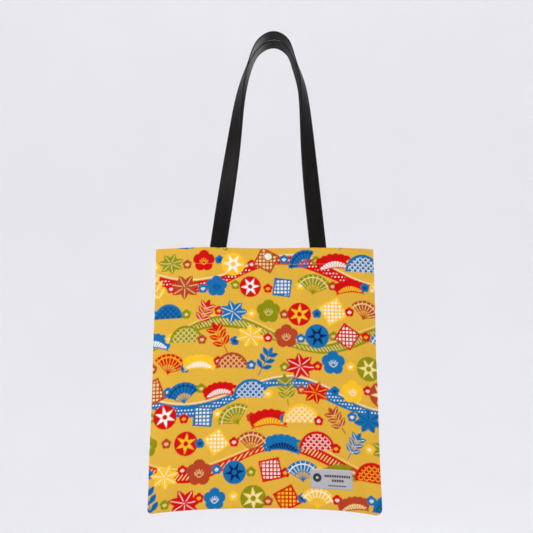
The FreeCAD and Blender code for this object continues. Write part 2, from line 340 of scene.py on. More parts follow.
def mound(p, centre, radius, colour, trim, turn):
    """A low round hill filled with wave scales; it isn't turned."""
    foot = centre + (0, 0.4 * radius)
    for share, shade, pattern in ((1.1, colour, None), (0.94, trim, scales(8.0, 1.0))):
        p.fill([foot + share * radius * towards(degrees) for degrees in range(-90, 91, 10)], shade, pattern)


def stream(p, height, colour, trim, pattern):
    """A band that winds from side to side, with a patterned middle and a thin light line above."""
    u = np.linspace(-STREAM_PAST, WIDTH + STREAM_PAST, 50)
    middle = height + 20 * np.sin(u / 43 + height)
    half = 6.5 + 2 * np.sin(u / 29 - height)
    for share, shade, fill in ((1, colour, None), (0.55, trim, pattern)):
        upper = np.stack([u, middle - share * half], 1)
        lower = np.stack([u, middle + share * half], 1)
        p.fill(np.concatenate([upper, lower[::-1]]), shade, fill)
    p.line(np.stack([u, middle - half - 2.2], 1), 1.0, trim)


BLOSSOM_SHARE = 0.78  # of the rough radius, because a blossom fills its circle
FAN_HALF = 62  # degrees from a fan's middle to its side
STREAM_PAST = 20  # how far a stream goes past the cloth's sides
STREAMS = (
    (38, RED, WHITE, dots(5.0, 1.1)),
    (128, OLIVE, CREAM, stripes(4.0, 1.3, 0.9)),
    (214, BLUE, WHITE, dots(4.6, 1.1)),
    (302, RED, CREAM, stripes(4.4, 1.4, -0.9)),
)  # height, inks and pattern of each
MOTIFS = (blossom, fan, sprig, ball, crown, star_leaf, tile, mound)
INKS = (
    (RED, WHITE),
    (BLUE, WHITE),
    (OLIVE, CREAM),
    (RED, YELLOW),
    (YELLOW, WHITE),
    (BROWN, CREAM),
    (BLUE, NAVY),
)
ROWS = range(12)
COLUMNS = range(-1, 8)
COLUMN_PITCH = 47
ROW_PITCH = 37
FIRST_ROW = -16.0  # above the mouth, on the cloth that is turned in
SHIFT = 4  # how far an ornament may lie from its place in the lattice, each way
SMALL_SHIFT = 5
SIZES = (19, 24)
TURNS = (-35, 35)
SMALL_BLOSSOM = 7 / BLOSSOM_SHARE
SEED = 11


def printed(u, v):
    """The print's colour at each point: common ornaments on a half-drop lattice, over winding bands."""
    p = Print(u, v)
    draws = np.random.default_rng(SEED)
    for height, colour, trim, pattern in STREAMS:
        stream(p, height, colour, trim, pattern)
    for row in ROWS:
        for column in COLUMNS:
            at = np.array([(column + 0.5 * (row % 2)) * COLUMN_PITCH, row * ROW_PITCH + FIRST_ROW])
            centre = at + draws.uniform(-SHIFT, SHIFT, 2)
            radius, turn = draws.uniform(*SIZES), draws.uniform(*TURNS)
            motif = MOTIFS[(3 * column + 5 * row) % len(MOTIFS)]
            motif(p, centre, radius, *INKS[(column + 2 * row) % len(INKS)], turn)
            between = at + (COLUMN_PITCH / 2, draws.uniform(-SMALL_SHIFT, SMALL_SHIFT))
            blossom(p, between, SMALL_BLOSSOM, *INKS[(column + 2 * row + 3) % len(INKS)])
    return p.colour


# ------------------------------------------------------------------ meshes


def make_piece(name, points, faces, material, attributes=None, slot=None):
    """A smooth mesh object from points in millimetres and lists of corner numbers."""
    mesh = bpy.data.meshes.new(name)
    mesh.from_pydata((np.asarray(points) * MM).tolist(), [], faces)
    mesh.shade_smooth()
    for label, values in (attributes or {}).items():
        layer = mesh.attributes.new(label, "FLOAT_VECTOR", "POINT")
        layer.data.foreach_set("vector", np.asarray(values, np.float32).ravel())
    mesh.materials.append(material)
    piece = bpy.data.objects.new(name, mesh)
    bpy.context.scene.collection.objects.link(piece)
    return piece


def grid_faces(rows, columns, flip=False, closed=False):
    """Four-sided faces of a grid whose points run along its rows. closed joins each row's ends."""
    r, c = np.meshgrid(np.arange(rows - 1), np.arange(columns if closed else columns - 1), indexing="ij")
    a, b = (r * columns + c).ravel(), (r * columns + (c + 1) % columns).ravel()
    order = (a, b, b + columns, a + columns)
    return np.stack(order[::-1] if flip else order, 1).tolist()


def join_parts(parts):
    """Several (points, faces) pairs as one."""
    faces, start = [], 0
    for points, corner_numbers in parts:
        faces += (np.array(corner_numbers) + start).tolist()
        start += len(points)
    return np.concatenate([points for points, _ in parts]), faces


def unit(vectors):
    return vectors / np.linalg.norm(vectors, axis=-1, keepdims=True)


# ------------------------------------------------------------------ materials


class Nodes:
    """A material under construction."""

    def __init__(self, name, **fixed):
        self.material = bpy.data.materials.new(name)
        self.material.use_nodes = True
        self.tree = self.material.node_tree
        self.shader = self.tree.nodes["Principled BSDF"]
        for socket, value in fixed.items():
            self.shader.inputs[socket.replace("_", " ")].default_value = value

    def node(self, kind, inputs=None, **settings):
        made = self.tree.nodes.new("ShaderNode" + kind)
        for key, value in settings.items():
            setattr(made, key, value)
        for socket, value in (inputs or {}).items():
            self.put(made.inputs[socket], value)
        return made

    def put(self, socket, value):
        """Link a socket to another, or set its value."""
        if isinstance(value, bpy.types.NodeSocket):
            self.tree.links.new(value, socket)
        else:
            socket.default_value = value

    def attribute(self, name):
        return self.node("Attribute", attribute_name=name).outputs["Vector"]

    def math(self, operation, a, b=0.0):
        return self.node("Math", {0: a, 1: b}, operation=operation).outputs[0]

    def object_place(self):
        return self.node("TexCoord").outputs["Object"]

    def times(self, vector, factor):
        """A colour made lighter or darker, or a place stretched."""
        return self.node("VectorMath", {0: vector, 1: factor}, operation="MULTIPLY").outputs[0]

    def between(self, value, low, high, start=0.0, end=1.0):
        """A value that runs from start to end, as one that runs from low to high."""
        ends = {"From Min": start, "From Max": end, "To Min": low, "To Max": high}
        return self.node("MapRange", {"Value": value, **ends}).outputs[0]

    def noise(self, place, scale, detail=3.0, low=0.0, high=1.0):
        """Noise between low and high."""
        made = self.node("TexNoise", {"Vector": place, "Scale": scale, "Detail": detail})
        return self.between(made.outputs["Fac"], low, high, 0.25, 0.75)

    def threads(self, place, pitch, direction):
        """Parallel threads, high along their middles."""
        look = {"Vector": place, "Scale": math.pi / 10 / pitch, "Distortion": 0.6}
        wander = {"Detail": 1.0, "Detail Scale": 0.4}
        return self.node("TexWave", look | wander, bands_direction=direction).outputs["Fac"]

    def mix(self, share, a, b):
        made = self.node("Mix", data_type="RGBA")
        self.put(made.inputs["Factor"], share)
        self.put(made.inputs["A"], a)
        self.put(made.inputs["B"], b)
        return made.outputs["Result"]

    def bump(self, height, distance, strength=1.0, under=None):
        made = self.node("Bump", {"Height": height, "Distance": distance, "Strength": strength})
        if under is not None:
            self.put(made.inputs["Normal"], under)
        return made.outputs["Normal"]

    def finish(self, colour, roughness=None, normal=None):
        self.put(self.shader.inputs["Base Color"], colour)
        if roughness is not None:
            self.put(self.shader.inputs["Roughness"], roughness)
        if normal is not None:
            self.put(self.shader.inputs["Normal"], normal)
        return self.material


THREAD_PITCH = 0.62


def solid(colour):
    """A colour as a colour socket takes it."""
    return (*colour, 1)


def weave(nodes, place):
    """The height of a plain weave, from its two sets of threads."""
    across, down = (nodes.threads(place, THREAD_PITCH, axis) for axis in "XY")
    return nodes.math("ADD", across, down)


def printed_cotton():
    """Plain cotton with its inks, faintly uneven in tone, with thicker threads here and there."""
    nodes = Nodes("printed_cotton", Sheen_Weight=0.02, Sheen_Roughness=0.6, Specular_IOR_Level=0.08)
    place = nodes.attribute("cloth_place")
    patchy, fine = nodes.noise(place, 0.035, 4.0, 0.955, 1.035), nodes.noise(place, 1.5, 2.0, 0.955, 1.04)
    colour = nodes.times(nodes.attribute("print_ink"), nodes.math("MULTIPLY", patchy, fine))
    slub = nodes.noise(nodes.times(place, (0.06, 1.4, 1)), 1.0)
    normal = nodes.bump(nodes.math("ADD", weave(nodes, place), slub), 0.05 * MM, 0.5)
    return nodes.finish(colour, nodes.noise(place, 0.25, 3.0, 0.74, 0.9), normal)


def cotton_reverse():
    """The wrong side of the cloth, where the print shows through faintly."""
    nodes = Nodes("cotton_reverse", Sheen_Weight=0.05, Sheen_Roughness=0.6, Specular_IOR_Level=0.16)
    place = nodes.attribute("cloth_place")
    faded = nodes.mix(0.34, solid(ink(232, 205, 146)), nodes.attribute("print_ink"))
    colour = nodes.times(faded, nodes.noise(place, 1.2, 2.0, 0.93, 1.05))
    normal = nodes.bump(weave(nodes, place), 0.06 * MM, 0.6)
    return nodes.finish(colour, nodes.noise(place, 0.3, 3.0, 0.8, 0.94), normal)


def label_ribbon():
    """Ribbed satin ribbon."""
    nodes = Nodes("label_ribbon", Sheen_Weight=0.2, Sheen_Roughness=0.4)
    place = nodes.attribute("cloth_place")
    ribs = nodes.math("ADD", nodes.threads(place, 0.5, "Y"), nodes.noise(place, 1.4, 2.0))
    colour = nodes.times(nodes.attribute("print_ink"), nodes.noise(place, 1.0, 3.0, 0.93, 1.05))
    return nodes.finish(colour, nodes.noise(place, 0.6, 2.0, 0.38, 0.52), nodes.bump(ribs, 0.04 * MM, 0.6))


def strap_leather():
    """Satin imitation leather: a fine grain, soft waves, and faint streaks along the strap."""
    nodes = Nodes("strap_leather", IOR=1.45, Specular_IOR_Level=0.12)
    place = nodes.attribute("strap_place")
    along = nodes.times(place, (0.9, 0.02, 1))
    colour = nodes.mix(nodes.noise(along, 1.0, 4.0), solid(ink(5, 4, 4)), solid(ink(22, 17, 14)))
    cells = nodes.node("TexVoronoi", {"Vector": place, "Scale": 1.3}, feature="DISTANCE_TO_EDGE")
    grain = nodes.bump(cells.outputs["Distance"], 0.06 * MM, 0.5)
    normal = nodes.bump(nodes.noise(place, 0.12, 3.0), 0.5 * MM, 0.25, grain)
    return nodes.finish(colour, nodes.noise(along, 0.7, 3.0, 0.36, 0.52), normal)


def spun_thread(name, colour):
    """Twisted sewing thread, lighter on the twist's ridges and darker in its grooves: painted shade."""
    nodes = Nodes(name, Sheen_Weight=0.15)
    place = nodes.object_place()
    look = {"Vector": place, "Scale": 700.0, "Distortion": 1.0}
    twist = nodes.node("TexWave", look, bands_direction="DIAGONAL").outputs["Fac"]
    # painted shade: the colour follows the twist's bump, darker in the grooves and lighter on the ridges
    tone = nodes.times(tuple(colour), nodes.between(twist, 0.8, 1.1))
    return nodes.finish(tone, nodes.noise(place, 900.0, 2.0, 0.5, 0.7), nodes.bump(twist, 0.05 * MM, 0.7))


def polished_metal(name, colour, dark, roughness):
    """Plated metal with hairline wear."""
    nodes = Nodes(name, Metallic=1.0)
    place = nodes.object_place()
    worn = nodes.mix(nodes.noise(place, 260.0, 5.0), solid(dark), solid(colour))
    lines = nodes.bump(nodes.noise(nodes.times(place, (1, 1, 14)), 900.0, 3.0), 0.01 * MM, 0.4)
    return nodes.finish(worn, nodes.noise(place, 500.0, 3.0, roughness, roughness + 0.14), lines)


def pearl_enamel():
    """Pearly lacquer, faintly clouded."""
    nodes = Nodes("pearl_enamel", Metallic=0.35, Coat_Weight=0.6, Coat_Roughness=0.12, IOR=1.5)
    place = nodes.object_place()
    swirl = nodes.noise(place, 220.0, 3.0)
    colour = nodes.mix(swirl, solid(ink(232, 220, 190)), solid(ink(246, 240, 224)))
    return nodes.finish(colour, nodes.noise(place, 400.0, 2.0, 0.2, 0.32), nodes.bump(swirl, 0.02 * MM, 0.4))


# ------------------------------------------------------------------ the cloth of the bag

FLAT_HALF = 92  # the walls are flat to here from the middle, then draw together to the side seams
BOTTOM_ROLL = 13  # height over which the walls draw together at the bottom
CLOTH = 0.75  # thickness
HANGS_LEFT = 2.2  # how far the cloth hangs to the left of its straps
CORNER_RADII = (5.0, 9.0)  # of the bottom corners, left and right
SEAM_DEPTH = 0.03  # of each wall where its edges meet the other's
COARSE, FINE_FRONT, FINE_REAR, LINING = 2.4, 1.0, 1.25, 2.5  # spacings of the cloth's points
LINING_ROWS = 70
LINING_OVERLAP = 2  # how far the upper lining goes up behind the hem
CORNER_MIRROR = 400  # twice the u about which the bottom corners' creases are mirrored
STRAP_MIDDLES = (74.0, 232.2)  # u of the two legs of a handle, at the mouth


def relief(u, v, facing):
    """How far the cloth stands out from a flat wall: soft pulls under the straps, and slack between."""
    side = np.minimum(u, WIDTH - u)
    slack = np.sin(u / 41 + 0.9 * facing) * np.sin(v / 63 + 0.4)
    slack = slack + 0.5 * np.sin((u + 0.7 * v) / 26 + 1.1) * np.sin((u - 0.9 * v) / 57 + facing)
    slack = slack + 0.22 * np.sin((0.35 * u + v) / 13 + 2.0 * np.sin(u / 47))
    slack = slack * (1 - 0.85 * np.exp(-((v / 34) ** 2)))
    pulls = sum(
        np.exp(-(((u - middle - lean * v) / (7 + 0.16 * v)) ** 2)) * np.exp(-v / 95)
        for middle in STRAP_MIDDLES
        for lean in (-0.16, 0.17)
    )
    seam = 0.22 * np.sin(v / 5.2 + 1.7 * np.sin(v / 31)) * np.exp(-side / 9)
    pucker = 0.3 * np.sin(u / 4.6 + 2.2 * np.sin(u / 37)) * np.exp(-(HEIGHT - v) / 10)
    corner = 2.2 * np.exp(-((np.minimum(u, CORNER_MIRROR - u) - 34) ** 2 + (v - HEIGHT + 30) ** 2) / 700)
    return slack + 0.9 * pulls + seam + pucker + corner * np.sin((u + v) / 17)


def wall_place(u, v, facing, inside=0.0):
    """Places on one wall, a given depth inside its outer face."""
    x = u - WIDTH / 2
    side = np.abs(x) / (WIDTH / 2)
    down = v / HEIGHT
    mouth = 0.7 * np.exp(-(((u - STRAP_MIDDLES[0]) / 34) ** 2)) - np.exp(-((x / 58) ** 2)) - 1.6 * side**5
    foot = 4.6 - 7.4 * side**2.3 - 2.2 * np.clip(2 * x / WIDTH, 0, 1) ** 3
    z = MOUTH_Z + mouth + (foot - mouth - HEIGHT) * down
    radius = np.where(x > 0, CORNER_RADII[1], CORNER_RADII[0])
    rise = np.clip(radius - (HEIGHT - v), 0, radius)
    corner = radius - np.sqrt(radius**2 - rise**2)
    waist = 0.9 * np.sin(math.pi * down) + 0.3 * np.sin(v / 23 + 1.5 * np.sign(x))
    flare = x * (0.009 * down - 0.003)
    across = CENTRE_X - HANGS_LEFT + x + flare - np.sign(x) * (waist * side**2 + corner * side**6)
    roll = np.clip((np.abs(x) - FLAT_HALF) / (WIDTH / 2 - FLAT_HALF), 0, 1)
    near_foot = np.clip((HEIGHT - v) / BOTTOM_ROLL, 0, 1)
    swell = (1 - roll**2.2) * np.sqrt(1 - (1 - near_foot) ** 2)
    depth = HALF_DEPTH * swell + relief(u, v, facing) * swell**0.6
    depth = np.maximum(depth - inside, SEAM_DEPTH * swell)
    return np.stack([across, facing * depth, z], 1)


def mouth_rows(spacing):
    """Rows of the upper cloth: where each lies down the wall, its v in the print, depth inside the
    outer face, and lift. They go up the inside of the hem, over the mouth and down to the fold."""
    hem = [(v, -v, 2 * CLOTH, 0.0) for v in np.arange(HEM_DEPTH, 1.0, -LINING)]
    over = [
        (0.0, -CLOTH * a, CLOTH * (1 + math.cos(a)), CLOTH * math.sin(a)) for a in np.linspace(math.pi, 0, 7)
    ]
    return hem + over + flat_rows(0, FOLD_V, int(FOLD_V / spacing) + 1)[1:]


def flat_rows(start, end, count):
    return [(v, v, 0.0, 0.0) for v in np.linspace(start, end, count)]


def foot_rows(spacing):
    """Rows of the lower cloth, from the fold to the bottom."""
    return flat_rows(FOLD_V, HEIGHT, int((HEIGHT - FOLD_V) / spacing) + 1)


def cloth_sheet(name, facing, rows, spacing, material, lining=0.0):
    """A grid of cloth on one wall, with the print's colour at each of its points. A lining lies its
    own depth inside the printed cloth."""
    us = np.linspace(0, WIDTH, int(WIDTH / spacing) + 1)
    v, print_v, inside, lift = (np.repeat(column, len(us)) for column in np.array(rows).T)
    u = np.tile(us, len(rows))
    points = wall_place(u, v, facing, inside + lining)
    points[:, 2] += lift
    attributes = {"print_ink": printed(u, print_v), "cloth_place": np.stack([u, print_v, 0 * u], 1)}
    faces = grid_faces(len(rows), len(us), flip=(facing < 0) == (lining == 0))
    return make_piece(name, points, faces, material, attributes, "printed_cloth")


def make_cloth():
    """Both walls, each as printed cloth outside and its wrong side within, above and below the fold."""
    cotton, reverse = printed_cotton(), cotton_reverse()
    sheets = {}
    for wall, facing in WALLS.items():
        fine = FINE_FRONT if wall == "front" else FINE_REAR
        spacing = fine
        outer = {"upper": mouth_rows(spacing), "lower": foot_rows(spacing)}
        inner = {
            "inside_upper": flat_rows(HEM_DEPTH - LINING_OVERLAP, FOLD_V, LINING_ROWS),
            "inside_lower": foot_rows(LINING),
        }
        upper, lower = (
            cloth_sheet(f"{wall}_cloth_{part}", facing, rows, spacing, cotton) for part, rows in outer.items()
        )
        lining_upper, lining_lower = (
            cloth_sheet(f"{wall}_cloth_{part}", facing, rows, LINING, reverse, CLOTH)
            for part, rows in inner.items()
        )
        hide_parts(f"{wall}_panel_upper", f"{wall}_hem")
        seam = ["bottom_seam"] if wall == "front" else []
        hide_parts(f"{wall}_panel_lower", *seam)
        for piece in (upper, lining_upper):
            follow_mouth(piece)
        for piece in (lower, lining_lower):
            follow_fold(piece)
        sheets[wall] = (upper, lower, lining_upper, lining_lower)
    return sheets


def follow_mouth(piece):
    """Bakes the piece's placement into its mesh."""
    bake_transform(piece)


def follow_fold(piece):
    """Bakes the piece's placement into its mesh."""
    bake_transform(piece)


def wall_frame(u, v, facing):
    """Places on a wall's outer face, and the directions outwards there."""
    step = 0.5
    across = unit(wall_place(u + step, v, facing) - wall_place(u - step, v, facing))
    down = unit(wall_place(u, v + step, facing) - wall_place(u, v - step, facing))
    out = unit(np.cross(across, down))
    return wall_place(u, v, facing), np.where((out[:, 1] * facing < 0)[:, None], -out, out)


# ------------------------------------------------------------------ stitches

# Pitch, length and radius of the stitches.
HEM_STITCH = (3.1, 2.5, 0.24)
EDGE_STITCH = (3.6, 2.8, 0.2)
BOX_STITCH = (2.9, 2.2, 0.22)
LABEL_STITCH = (2.5, 1.8, 0.2)
STITCH_SIDES = 6
STITCH_LIFT = 0.35  # how far a stitch's middle stands out, as a share of its radius
STITCH_RINGS = ((-1.0, 0.15), (-0.86, 0.7), (-0.45, 1.0), (0.45, 1.0), (0.86, 0.7), (1.0, 0.15))
HEM_ROW = 1.4  # the hem's stitches above its edge
HEM_ENDS = 4  # and from the side seams


def capsules(starts, ends, outs, radius):
    """Short rounded stitches from starts to ends, their ends sunk in what they hold."""
    middles = (starts + ends) / 2
    halves = (ends - starts) / 2
    sides = unit(np.cross(halves, outs))
    points = []
    for along, swell in STITCH_RINGS:
        for a in np.linspace(0, 2 * math.pi, STITCH_SIDES, endpoint=False):
            lift = radius * (swell * math.sin(a) + STITCH_LIFT * (1 - 1.6 * along**2))
            points.append(middles + along * halves + radius * swell * math.cos(a) * sides + lift * outs)
    points = np.stack(points, 1).reshape(-1, 3)
    one = np.array(grid_faces(len(STITCH_RINGS), STITCH_SIDES, closed=True))
    firsts = len(STITCH_RINGS) * STITCH_SIDES * np.arange(len(starts))
    return points, (one + firsts[:, None, None]).reshape(-1, 4).tolist()


def stitch_run(points, outs, pitch, length, radius):
    """Stitches at an even pitch along a line of points."""
    steps = np.linalg.norm(np.diff(points, axis=0), axis=1)
    along = np.concatenate([[0], np.cumsum(steps)])
    count = int(along[-1] / pitch)
    starts = (np.arange(count) + 0.5) * along[-1] / count - length / 2

    def at(distances, values):
        return np.stack([np.interp(distances, along, column) for column in values.T], 1)

    sticking_out = unit(at(starts + length / 2, outs))
    return capsules(at(starts, points), at(starts + length, points), sticking_out, radius)


def wall_run(start, end, facing, spacing):
    """Points and outward directions along a straight line sewn on a wall, given by its (u, v) ends."""
    count = max(2, int(math.dist(start, end) / spacing))
    u, v = np.linspace(start, end, count).T
    return wall_frame(u, v, facing)


def make_hem_stitches(thread):
    """The row of stitches that holds each wall's hem."""
    made = {}
    for wall, facing in WALLS.items():
        v = HEM_DEPTH - HEM_ROW
        row = wall_run((HEM_ENDS, v), (WIDTH - HEM_ENDS, v), facing, 2.0)
        points, faces = stitch_run(*row, *HEM_STITCH)
        piece = make_piece(f"{wall}_hem_stitches", points, faces, thread, slot="thread")
        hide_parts(f"{wall}_hem_thread")
        follow_mouth(piece)
        made[wall] = piece
    return made


# ------------------------------------------------------------------ handles

STRAP_WIDTH = 24
STRAP_THICKNESS = 1.7
STRAP_DEPTH = 2.4  # distance of a strap's middle from the bag's middle, at the hem
STRAP_SPREAD = 10.4  # how much further apart the two straps are on the hook
STRAP_SPACING = 2.0
TWIST_END = 0.96  # share of the height at which a strap has turned edge on
TWIST_POWER = 1.4
SMOOTHINGS = 6
EDGE_ROW = 2.1  # the edge stitches from a strap's edge
BOX_SIDE = 4  # the sewn box from a strap's edge
BOX_FOOT, BOX_TOP = 2.5, 3  # and from the strap's end, and from the mouth
# Places (x, z) of a strap's middle, up its left leg and down its right one.
LEFT_LEG = [(-83, -331), (-72, -248), (-59, -146.5), (-53, -99), (-46.4, -66), (-36, -33), (-21.5, -9)]
RIGHT_LEG = [(18, -8), (30.6, -33), (41.1, -66), (46.1, -99), (49.5, -146.5), (56, -238), (64.2, -331)]


def natural_spline(points, spacing):
    """A smooth curve through the points, as evenly spaced places."""
    p = np.array(points, float)
    s = np.concatenate([[0], np.cumsum(np.linalg.norm(np.diff(p, axis=0), axis=1))])
    h = np.diff(s)
    count = len(p)
    system, right = np.eye(count), np.zeros_like(p)
    for i in range(1, count - 1):
        system[i, i - 1 : i + 2] = h[i - 1], 2 * (h[i - 1] + h[i]), h[i]
        right[i] = 6 * ((p[i + 1] - p[i]) / h[i] - (p[i] - p[i - 1]) / h[i - 1])
    bend = np.linalg.solve(system, right)
    t = np.linspace(0, s[-1], int(s[-1] / spacing) + 1)
    i = np.clip(np.searchsorted(s, t, side="right") - 1, 0, count - 2)
    a, b, w = (s[i + 1] - t)[:, None], (t - s[i])[:, None], h[i][:, None]
    curve = (bend[i] * a**3 + bend[i + 1] * b**3) / (6 * w)
    return curve + (p[i] / w - bend[i] * w / 6) * a + (p[i + 1] / w - bend[i + 1] * w / 6) * b


def strap_line(facing):
    """The middle of a strap from one sewn end to the other, and its directions across and out."""
    route = natural_spline(LEFT_LEG + [(0, STRAP_THICKNESS / 2)] + RIGHT_LEG, STRAP_SPACING)
    ends = np.arange(-SEWN_END, -0.1, STRAP_SPACING)
    left = np.stack([np.full(len(ends), LEFT_LEG[0][0]), MOUTH_Z + ends], 1)
    right = np.stack([np.full(len(ends), RIGHT_LEG[-1][0]), MOUTH_Z + ends[::-1]], 1)
    x, z = np.concatenate([left, route, right]).T
    height = np.clip(1 + np.minimum(z, 0) / -MOUTH_Z, 0, None)
    turn = math.pi / 2 * np.minimum(1, height / TWIST_END) ** TWIST_POWER
    y = facing * (STRAP_DEPTH + STRAP_SPREAD * np.sin(turn))
    middle = np.stack([x, y, z], 1)
    for _ in range(SMOOTHINGS):
        middle[1:-1] = (middle[:-2] + 2 * middle[1:-1] + middle[2:]) / 4
    along = unit(np.gradient(middle, axis=0))
    side = np.where(np.arange(len(x)) < len(x) / 2, 1, -1)
    across = np.stack([side * np.cos(turn), facing * np.sin(turn), 0 * x], 1)
    across = unit(across - (across * along).sum(1)[:, None] * along)
    return middle, across, np.cross(across, along)


def strap_profile():
    """The outline of a strap's section, as (across, out): thin rounded edges and a slightly crowned face."""
    half, thick = STRAP_WIDTH / 2, STRAP_THICKNESS / 2
    edge = [(half - thick * (1 - math.cos(a)), thick * 0.86 * math.sin(a)) for a in np.linspace(-1.3, 1.3, 7)]
    crown = ((2.2, 0.98), (3.4, 0.86), (6.5, 0.96), (12, 1))
    face = [(half - inset, thick * share) for inset, share in crown]
    top = edge[len(edge) // 2 :] + face
    ring = top + [(-a, b) for a, b in top[-2::-1]]
    return np.array(ring + [(a, -b) for a, b in ring[-2:0:-1]])


def make_strap(name, middle, across, out, leather):
    """One strap, from sewn end to sewn end."""
    profile = strap_profile()
    points = middle[:, None] + profile[None, :, :1] * across[:, None] + profile[None, :, 1:] * out[:, None]
    count, ring = len(middle), len(profile)
    lengths = np.concatenate([[0], np.cumsum(np.linalg.norm(np.diff(middle, axis=0), axis=1))])
    strap_place = np.stack(
        [np.tile(profile[:, 0], count), np.repeat(lengths, ring), np.tile(profile[:, 1], count)], 1
    )
    faces = grid_faces(count, ring, closed=True)
    faces += [list(range(ring)), list(range((count - 1) * ring, count * ring))[::-1]]
    return make_piece(name, points.reshape(-1, 3), faces, leather, {"strap_place": strap_place}, "strap")


def follow_handle(piece):
    """Bakes the piece's placement into its mesh."""
    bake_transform(piece)


def edge_rows(middle, across, out):
    """The stitches along both edges of a strap, on both faces."""
    rows = []
    for edge in (-1, 1):
        offset = edge * (STRAP_WIDTH / 2 - EDGE_ROW)
        for face in (-1, 1):
            line = middle + offset * across + face * (STRAP_THICKNESS / 2 - 0.1) * out
            rows.append(stitch_run(line, face * out, *EDGE_STITCH))
    return join_parts(rows)


def sewn_boxes(facing):
    """A stitched box with its diagonals on each sewn end of a strap."""
    half, low, high = STRAP_WIDTH / 2 - BOX_SIDE, MOUTH_Z - SEWN_END + BOX_FOOT, MOUTH_Z - BOX_TOP
    y = facing * (STRAP_DEPTH - STRAP_THICKNESS / 2)
    rows = []
    for x in (LEFT_LEG[0][0], RIGHT_LEG[-1][0]):
        box = [(x - half, y, low), (x + half, y, low), (x + half, y, high), (x - half, y, high)]
        for a, b in ((0, 1), (1, 2), (2, 3), (3, 0), (0, 2), (1, 3)):
            line = np.linspace(box[a], box[b], 20)
            rows.append(stitch_run(line, np.tile([0.0, -facing, 0.0], (20, 1)), *BOX_STITCH))
    return join_parts(rows)


def make_handles(leather, thread):
    """Both straps with their stitches."""
    for wall, facing in WALLS.items():
        line = strap_line(facing)
        strap = make_strap(f"{wall}_handle_strap", *line, leather)
        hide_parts(f"{wall}_strap", f"{wall}_strap_ends")
        edging = make_piece(f"{wall}_handle_stitches", *edge_rows(*line), thread, slot="dark_thread")
        for piece in (strap, edging):
            follow_handle(piece)
        sewn = make_piece(f"{wall}_strap_end_stitches", *sewn_boxes(facing), thread, slot="dark_thread")
        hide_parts(f"{wall}_strap_threads")
        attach(sewn, f"{wall}_wall")


# ------------------------------------------------------------------ press snap


ROUND_SIDES = 56
SHANK = [(1.5, -1.6), (1.5, 0.0)]  # (radius, height) pairs, as in every profile of the snap
AXIS = 0.01  # a profile ends this near its axis


def lathe(name, profile, centre, facing, material):
    """A round piece about an axis along Y, from (radius, height) pairs, pointing out of its wall."""
    angles = np.linspace(0, 2 * math.pi, ROUND_SIDES, endpoint=False)
    points = [
        (centre[0] + r * math.cos(a), centre[1] + facing * h, centre[2] + r * math.sin(a))
        for r, h in profile
        for a in angles
    ]
    faces = grid_faces(len(profile), ROUND_SIDES, flip=facing < 0, closed=True)
    faces.append(list(range(ROUND_SIDES))[::-facing])
    return make_piece(name, points, faces, material, slot="snap_metal")


def rounded(radius, width, height, turns, count):
    """The profile of a rounded rim, a part of an ellipse between two angles."""
    angles = np.linspace(*turns, count)
    return [(radius - width + width * math.cos(a), height + height * math.sin(a)) for a in angles]


def make_snap(metal, steel, enamel):
    """The cap's rim and dome on the front wall, the ring behind, and better metal on the inner parts."""
    low, high = corners(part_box("snap_cap"))
    centre_x, centre_z, radius = (low[0] + high[0]) / 2, (low[2] + high[2]) / 2, (high[0] - low[0]) / 2
    rise = -HALF_DEPTH - low[1]
    face = (centre_x, -HALF_DEPTH, centre_z)
    rim = rounded(radius, 0.9, 0.75, (-1.5, 2.6), 12)
    plate = [(radius - 1.9, 0.7), (radius - 2.6, 0.75), (AXIS, 0.8)]
    cap = lathe("snap_cap_rim", SHANK + rim + plate, face, -1, metal)
    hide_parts("snap_cap")
    dome_radius, foot = radius - 1.55, 0.78
    angles = np.linspace(-0.3, 1.5, 14)
    dome = [(dome_radius * math.cos(a), foot + (rise - foot) * math.sin(a)) for a in angles]
    pearl = lathe("snap_cap_dome", dome + [(AXIS, rise)], face, -1, enamel)
    for piece in (cap, pearl):
        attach(piece, "front_wall")
    rim = rounded(radius, 0.9, 0.45, (-1.5, 2.4), 10) + [(3.9, 0.55)]
    hollow = [(r, 0.3 + 0.5 * (1 - r / 3.2) ** 2) for r in (3.2, 2.2, 1.2, 0.4, AXIS)]
    behind = (centre_x, HALF_DEPTH, centre_z)
    back = lathe("snap_back_ring", SHANK + rim + hollow, behind, 1, metal)
    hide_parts("snap_stud_cap")
    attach(back, "rear_wall")
    for node, material in (("snap_socket", metal), ("snap_stud", metal), ("snap_spring", steel)):
        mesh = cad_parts[node].data
        mesh.materials.clear()
        mesh.materials.append(material)


# ------------------------------------------------------------------ label

LABEL_GREY = ink(178, 176, 179)
LABEL_INK = ink(34, 32, 36)
LABEL_SPACING = 0.45
LABEL_EDGE = 0.9  # width of its rounded edge
LABEL_CLEAR = 0.12  # its clearance from the cloth
LABEL_INSET = 1.5  # the stitches from its edge


def label_print(u, v, width, height):
    """A painted highlight along the top edge and painted shade along the bottom edge, a plain mark and three
    rows of bars.
    """
    p = Print(u, v)
    p.colour[:] = LABEL_GREY
    # painted highlight: a lighter line along the label's top edge
    p.line([(0, 0.8), (width, 0.8)], 0.7, ink(214, 213, 214))
    # painted shade: a darker line along the label's bottom edge
    p.line([(0, height - 0.8), (width, height - 0.8)], 0.7, ink(164, 163, 166))
    middle = np.array([9.4, 0.44 * height])
    p.blob(middle, 5.9, ink(20, 18, 22))
    p.blob(middle, 1.7, ink(200, 198, 200))
    for row, start, end in ((0.34, 0.33, 0.92), (0.56, 0.5, 0.76)):
        p.line([(start * width, row * height), (end * width, row * height)], 3.2, LABEL_INK, dash=(3.3, 2.6))
    p.line([(0.42 * width, 0.82 * height), (0.83 * width, 0.82 * height)], 1.8, LABEL_INK, dash=(2.3, 1.8))
    return p.colour


